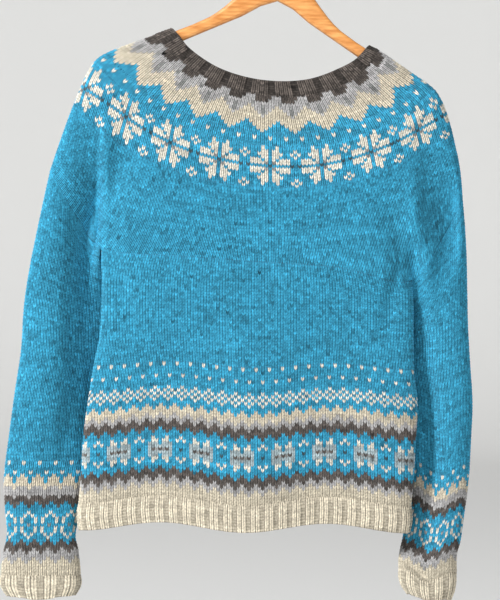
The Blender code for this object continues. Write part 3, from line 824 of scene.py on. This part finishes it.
def knit(
    name, surface, top, bottom, rounds, stitches, chart,
    ribs="", offset=0, wale=None, contrast=1, first=False, last=False,
):
    """One knitted tube between two rows of a surface: a shell with each stitch a raised V on its outside.

    With wale, stitches keep that width and are taken in at the far side of the tube, opposite the
    reference; otherwise they spread evenly round it. first and last say that its top or its bottom is
    an open edge of the garment.
    """
    rng = np.random.default_rng(len(name) + ROUND_SEED * rounds + stitches)
    columns = stitches * LINES
    lines = ROUND_LINES * rounds + 1
    column = np.arange(columns)
    line = np.arange(lines)
    phase = column % LINES
    purl = np.zeros(columns, bool)
    rise = np.zeros((lines, 1))
    places = column / columns
    if ribs:
        purl = np.array([ribs[(j - offset) % len(ribs)] == "p" for j in column // LINES])
        widths = np.where(purl, PURL_WIDTH, 1)
        places = (np.cumsum(widths) - widths) / widths.sum()
        from_join = (lines - 1 - line if first else line)[:, None]
        rise = np.clip(from_join / RIB_GROWTH, 0, 1)
    ends = ((line == 0) | ((line == lines - 1) & last))[:, None]

    down = line[:, None] / ROUND_LINES + np.where(ends | purl, 0, np.array(LEAN)[phase])
    if not first:
        down[0] = -UNDERLAP
    rows = surface.rows_between(top, bottom, down / rounds)
    shares = np.broadcast_to(places, rows.shape)
    if wale is not None:
        shares = taken_in(surface, rows, columns, LINES, wale)
    points, normals = surface.at(rows, shares)

    edge = np.full(rows.shape, -EDGE_DEPTH)
    if ribs:
        edge[-1] += np.where(purl, 0, RIB_HEIGHT)
    height = np.where(ends, edge, stitch_heights(line, phase, purl, rise))
    if not first:
        height[0] = -UNDERLAP_DEPTH
    if not last:
        height[-1] -= EDGE_SINK
    height += rng.normal(0, JITTER, height.shape) * ~ends
    outer = points + height[..., None] * normals

    inside = np.linspace(0, 1, max(2, rounds // ROUNDS_INSIDE + 1))
    rows = np.repeat(surface.rows_between(top, bottom, inside)[:, None], stitches, axis=1)
    shares = np.broadcast_to(np.arange(stitches) / stitches, rows.shape)
    if wale is not None:
        shares = taken_in(surface, rows, stitches, 1, wale)
    points, normals = surface.at(rows, shares)
    inner = points - WALL * normals

    yarn = heathered(charted(chart, rounds, stitches, offset), rng)
    # Painted shade in the grooves and between rounds and painted highlight on the legs, by which the yarn's
    # colour is multiplied
    shade = painted_stitch_shading(line, phase, purl, rise) ** contrast
    return build_shell(name, outer, inner, yarn, shade)


def tube_corners(rings, points):
    """The ring and the place on it of the four corners of each face between closed rings."""
    ring, place = np.meshgrid(np.arange(rings - 1), np.arange(points), indexing="ij")
    following = (place + 1) % points
    return np.stack([ring, ring + 1, ring + 1, ring], -1), np.stack([place, place, following, following], -1)


def build_shell(name, outer, inner, yarn, shade):
    """A knitted tube: its outside, its inside and two rims, with the yarn's colour times painted shade and
    highlight at every corner.
    """
    lines, columns = outer.shape[:2]
    rows, stitches = inner.shape[:2]
    ring, place = tube_corners(lines, columns)
    outside = ring * columns + place
    colours = yarn[np.minimum(ring[..., :1] // ROUND_LINES, len(yarn) - 1), place[..., :1] // LINES]
    # The yarn's colour with painted shade in the grooves and painted highlight on the legs
    outside_colours = colours * shade[ring, place][..., None]

    first_inner = lines * columns
    ring, place = tube_corners(rows, stitches)
    inside = first_inner + ring * stitches + place[..., ::-1]
    rounds_in = (np.arange(rows - 1) + 0.5) / (rows - 1) * len(yarn)
    rounds_in = np.minimum(rounds_in, len(yarn) - 1).astype(int)
    # The inside is the yarn's colour darkened by painted shade
    inside_colours = np.repeat(yarn[rounds_in][:, :, None, :] * INSIDE_PAINTED_SHADE, 4, axis=2)

    stitch = np.arange(stitches)
    following = (stitch + 1) % stitches
    edge = [(stitch * LINES + i) % columns for i in range(LINES + 1)]
    top_rim = np.stack([*edge, first_inner + following, first_inner + stitch], -1)
    last_line = (lines - 1) * columns
    last_inner = first_inner + (rows - 1) * stitches
    lower_edge = [last_line + points for points in edge[::-1]]
    bottom_rim = np.stack([last_inner + stitch, last_inner + following, *lower_edge], -1)
    # The rims are the yarn's colour darkened by painted shade
    top_colours = np.repeat(yarn[0][:, None, :] * RIM_PAINTED_SHADE, LINES + 3, axis=1)
    bottom_colours = np.repeat(yarn[-1][:, None, :] * RIM_PAINTED_SHADE, LINES + 3, axis=1)

    faces = (outside, inside, top_rim, bottom_rim)
    corners = np.concatenate([part.reshape(-1) for part in faces])
    sizes = np.concatenate([np.full(part[..., 0].size, part.shape[-1]) for part in faces])
    colours = (outside_colours, inside_colours, top_colours, bottom_colours)
    colours = np.concatenate([part.reshape(-1, 3) for part in colours])
    colours = np.column_stack([colours, np.ones(len(colours))])
    points = np.concatenate([outer.reshape(-1, 3), inner.reshape(-1, 3)]) * MM

    mesh = bpy.data.meshes.new(name)
    mesh.vertices.add(len(points))
    mesh.vertices.foreach_set("co", points.astype(np.float32).ravel())
    mesh.loops.add(len(corners))
    mesh.loops.foreach_set("vertex_index", corners.astype(np.int32))
    mesh.polygons.add(len(sizes))
    mesh.polygons.foreach_set("loop_start", (np.cumsum(sizes) - sizes).astype(np.int32))
    mesh.update(calc_edges=True)
    # The yarn attribute holds the yarn's colour with its painted shade and highlight
    attribute = mesh.color_attributes.new("yarn", "FLOAT_COLOR", "CORNER")
    attribute.data.foreach_set("color", colours.astype(np.float32).ravel())
    mesh.shade_smooth()
    obj = bpy.data.objects.new(name, mesh)
    bpy.context.scene.collection.objects.link(obj)
    return obj


# Materials

def new_material(name):
    """A material, its node tree and its shader."""
    material = bpy.data.materials.new(name)
    material.use_nodes = True
    return material, material.node_tree, material.node_tree.nodes["Principled BSDF"]


def node(tree, kind, **values):
    made = tree.nodes.new(kind)
    for name, value in values.items():
        setattr(made, name, value)
    return made


def noise(tree, place, scale, detail):
    """The strength of a noise of this scale at a place."""
    made = node(tree, "ShaderNodeTexNoise")
    made.inputs["Scale"].default_value = scale
    made.inputs["Detail"].default_value = detail
    tree.links.new(place, made.inputs["Vector"])
    return made.outputs["Fac"]


def wool():
    """Spun wool: its yarn's own colour with the stitches' painted shade and highlight, mottled by fibres of
    other shades, with a soft halo.
    """
    material, tree, shader = new_material("wool")
    shader.inputs["Roughness"].default_value = 0.9
    shader.inputs["Specular IOR Level"].default_value = 0.2
    shader.inputs["Sheen Weight"].default_value = 0.05
    shader.inputs["Sheen Roughness"].default_value = 0.6
    place = node(tree, "ShaderNodeTexCoord").outputs["Object"]
    yarn = node(tree, "ShaderNodeAttribute", attribute_name="yarn").outputs["Color"]
    shades = node(tree, "ShaderNodeMapRange")
    shades.inputs["From Min"].default_value = 0.3
    shades.inputs["From Max"].default_value = 0.7
    shades.inputs["To Min"].default_value = 0.68
    shades.inputs["To Max"].default_value = 1.32
    tree.links.new(noise(tree, place, 420, 3), shades.inputs["Value"])
    mottled = node(tree, "ShaderNodeVectorMath", operation="SCALE")
    tree.links.new(yarn, mottled.inputs[0])
    tree.links.new(shades.outputs["Result"], mottled.inputs["Scale"])
    tree.links.new(mottled.outputs["Vector"], shader.inputs["Base Color"])
    bump = node(tree, "ShaderNodeBump")
    bump.inputs["Strength"].default_value = 0.5
    bump.inputs["Distance"].default_value = 0.0004
    tree.links.new(noise(tree, place, 1500, 2), bump.inputs["Height"])
    tree.links.new(bump.outputs["Normal"], shader.inputs["Normal"])
    return material


def wood():
    """Pale varnished pine, its grain along the arms."""
    material, tree, shader = new_material("pine")
    shader.inputs["Roughness"].default_value = 0.42
    shader.inputs["Coat Weight"].default_value = 0.15
    place = node(tree, "ShaderNodeTexCoord").outputs["Object"]
    stretch = node(tree, "ShaderNodeMapping")
    stretch.inputs["Scale"].default_value = (14, 60, 90)
    tree.links.new(place, stretch.inputs["Vector"])
    ramp = node(tree, "ShaderNodeValToRGB")
    ramp.color_ramp.elements[0].position = 0.35
    ramp.color_ramp.elements[0].color = (*linear((0.78, 0.49, 0.22)), 1)
    ramp.color_ramp.elements[1].position = 0.68
    ramp.color_ramp.elements[1].color = (*linear((0.92, 0.66, 0.38)), 1)
    tree.links.new(noise(tree, stretch.outputs["Vector"], 3, 5), ramp.inputs["Fac"])
    tree.links.new(ramp.outputs["Color"], shader.inputs["Base Color"])
    return material


def steel():
    """Bright wire, unevenly worn."""
    material, tree, shader = new_material("steel")
    shader.inputs["Metallic"].default_value = 1.0
    shader.inputs["Base Color"].default_value = (0.62, 0.62, 0.61, 1)
    place = node(tree, "ShaderNodeTexCoord").outputs["Object"]
    rough = node(tree, "ShaderNodeMapRange")
    rough.inputs["To Min"].default_value = 0.18
    rough.inputs["To Max"].default_value = 0.38
    tree.links.new(noise(tree, place, 260, 2), rough.inputs["Value"])
    tree.links.new(rough.outputs["Result"], shader.inputs["Roughness"])
    return material


# The garment

yoke = yoke_rings()
neck_rings = neckband_rings(yoke[0])
body = body_rings(yoke[-1])
hem = [ring_of(body_loop(*row[:6]), (BODY_STEPS, UNDERARM_STEPS) * 2) for row in HEM_ROUNDS]

garment = []


def add_tube(name, nodes, slot, flat, surface, top, bottom, rounds, stitches, chart, **options):
    """Knits one stretch that stands in for these nodes. flat is its flat size in metres."""
    obj = knit(name, surface, top, bottom, rounds, stitches, chart, **options)
    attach(obj, "root")
    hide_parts(*nodes)
    garment.append((obj, flat))


surface = Surface(np.concatenate([neck_rings[:-1], yoke]), across_near(YOKE_MIDDLE), "yoke")
neck_row = (len(neck_rings) - 1) * DENSE_ROWS
add_tube(
    "neckband_rib", ["neckband"], "wool_charcoal", (0.69, 0.023), surface, 0, neck_row,
    rounds=7, stitches=154, chart=NECK_CHART, ribs=NECK_RIB, offset=-4, contrast=NECK_PAINTED_SHADING_POWER, first=True,
)
marks = [surface.row_at_level(level_of(row)) for row in YOKE_MARKS]
marks[0], marks[-1] = neck_row, len(surface.points) - 1
for (name, flat, rounds, stitches, chart, offset), top, bottom in zip(YOKE_STRETCHES, marks, marks[1:]):
    add_tube(name, ["yoke"], "wool_blue", flat, surface, top, bottom, rounds, stitches, chart, offset=offset)

surface = Surface(np.array([*body, *hem]), across_near(BODY_MIDDLE), "body")
bands_row = surface.row_at_level(level_of(BODY_BANDS_TOP))
hem_row = (len(body) - 1) * DENSE_ROWS
add_tube(
    "body_plain", ["body"], "wool_blue", (0.88, 0.136), surface, 0, bands_row,
    rounds=36, stitches=BODY_STITCHES, chart=PLAIN,
)
add_tube(
    "body_bands", ["body"], "wool_blue", (0.92, 0.18), surface, bands_row, hem_row,
    rounds=len(BODY_BANDS), stitches=BODY_STITCHES, chart=BODY_BANDS, offset=-1,
)
add_tube(
    "hem_ribbing", ["hem_rib"], "wool_cream", (0.935, 0.036), surface, hem_row, len(surface.points) - 1,
    rounds=9, stitches=BODY_STITCHES, chart=CREAM, ribs=RIB, last=True,
)

for name, sleeve_rows, cuff_rows, inner_is_right, place, flats in SLEEVES:
    rings = behind_body(sleeve_rings(sleeve_rows + cuff_rows, yoke[-1], inner_is_right), inner_is_right)
    surface = Surface(rings, outer_fold(inner_is_right), name)
    cuff_row = (len(sleeve_rows) - 1) * DENSE_ROWS
    middle = surface.points[:, :, 2].mean(axis=1)
    bands_row = np.interp(-level_of(SLEEVE_BANDS_TOP[name]), -middle, np.arange(len(middle)))
    node_name = "sleeve_" + name
    add_tube(
        node_name + "_plain", [node_name], "wool_blue", flats[0], surface, 0, bands_row,
        rounds=86, stitches=66, chart=PLAIN, wale=WALE,
    )
    surface = Surface(rings, share_across(place), name)
    add_tube(
        node_name + "_bands", [node_name], "wool_blue", flats[1], surface, bands_row, cuff_row,
        rounds=len(SLEEVE_BANDS), stitches=48, chart=SLEEVE_BANDS,
    )
    add_tube(
        "cuff_" + name + "_ribbing", ["cuff_" + name], "wool_cream", flats[2], surface, cuff_row,
        len(surface.points) - 1, rounds=8, stitches=36, chart=CREAM, ribs=RIB, last=True,
    )

wool_material = wool()
for obj, flat in garment:
    obj.data.materials.append(wool_material)

for node_name, material in (("hanger", wood()), ("hanger_hook", steel())):
    obj = nodes[node_name]
    obj.data.materials.clear()
    obj.data.materials.append(material)

# Floor, light and camera, in metres

# A round floor with an open middle that one face fills, and a rim that curves up into a low wall
FLOOR_LEVEL = -1.02
MIDDLE_RADIUS = 1.0
FLOOR_RADIUS = 4.8
RIM_RADIUS = 1.0
WALL_TOP = 1.6
RIM_STEPS = 12
FLOOR_SIDES = 96
FLOOR_COLOUR = (0.78, 0.78, 0.77, 1)
# The lights' size, what they point at, and the place and power of each
LIGHT_SIZE = 2.0
LIT_POINT = (0, 0, -0.5)
LIGHTS = {"key": ((-5.46, -4.42, 4.18), 880), "fill": ((1.6, -3.2, 0.2), 22)}
SURROUND_STRENGTH = 0.22
# The camera stands level before the garment and takes in this much above and below its own height
CAMERA_PLACE = (-0.0492, -3.5, -0.5054)
HALF_VIEW = 0.399

profile = [(MIDDLE_RADIUS, FLOOR_LEVEL), (FLOOR_RADIUS, FLOOR_LEVEL)]
for angle in np.linspace(0, math.pi / 2, RIM_STEPS)[1:]:
    out = FLOOR_RADIUS + RIM_RADIUS * math.sin(angle)
    profile.append((out, FLOOR_LEVEL + RIM_RADIUS * (1 - math.cos(angle))))
profile.append((FLOOR_RADIUS + RIM_RADIUS, WALL_TOP))
turns = np.linspace(0, 2 * math.pi, FLOOR_SIDES, endpoint=False)
points = [(r * math.cos(a), r * math.sin(a), z) for r, z in profile for a in turns]
ring, place = tube_corners(len(profile), FLOOR_SIDES)
faces = [list(range(FLOOR_SIDES)), *(ring * FLOOR_SIDES + place).reshape(-1, 4).tolist()]
floor_material, _, shader = new_material("floor")
shader.inputs["Base Color"].default_value = FLOOR_COLOUR
shader.inputs["Roughness"].default_value = 0.9
mesh = bpy.data.meshes.new("floor")
mesh.from_pydata(points, [], faces)
mesh.shade_smooth()
floor = bpy.data.objects.new("floor", mesh)
floor.data.materials.append(floor_material)
bpy.context.scene.collection.objects.link(floor)

for name, (place, power) in LIGHTS.items():
    light = bpy.data.lights.new(name, "AREA")
    light.shape = "DISK"
    light.size = LIGHT_SIZE
    light.energy = power
    obj = bpy.data.objects.new(name, light)
    obj.location = place
    direction = mathutils.Vector(LIT_POINT) - mathutils.Vector(place)
    obj.rotation_euler = direction.to_track_quat("-Z", "Y").to_euler()
    bpy.context.scene.collection.objects.link(obj)

world = bpy.data.worlds.new("studio")
world.use_nodes = True
world.node_tree.nodes["Background"].inputs["Color"].default_value = (1, 1, 1, 1)
world.node_tree.nodes["Background"].inputs["Strength"].default_value = SURROUND_STRENGTH
bpy.context.scene.world = world

bpy.context.scene.view_settings.view_transform = "Standard"
camera = bpy.data.cameras.new("camera")
camera.sensor_fit = "VERTICAL"
camera.angle_y = 2 * math.atan(HALF_VIEW / -CAMERA_PLACE[1])
obj = bpy.data.objects.new("camera", camera)
obj.location = CAMERA_PLACE
obj.rotation_euler = (math.pi / 2, 0, 0)
bpy.context.scene.collection.objects.link(obj)
bpy.context.scene.camera = obj
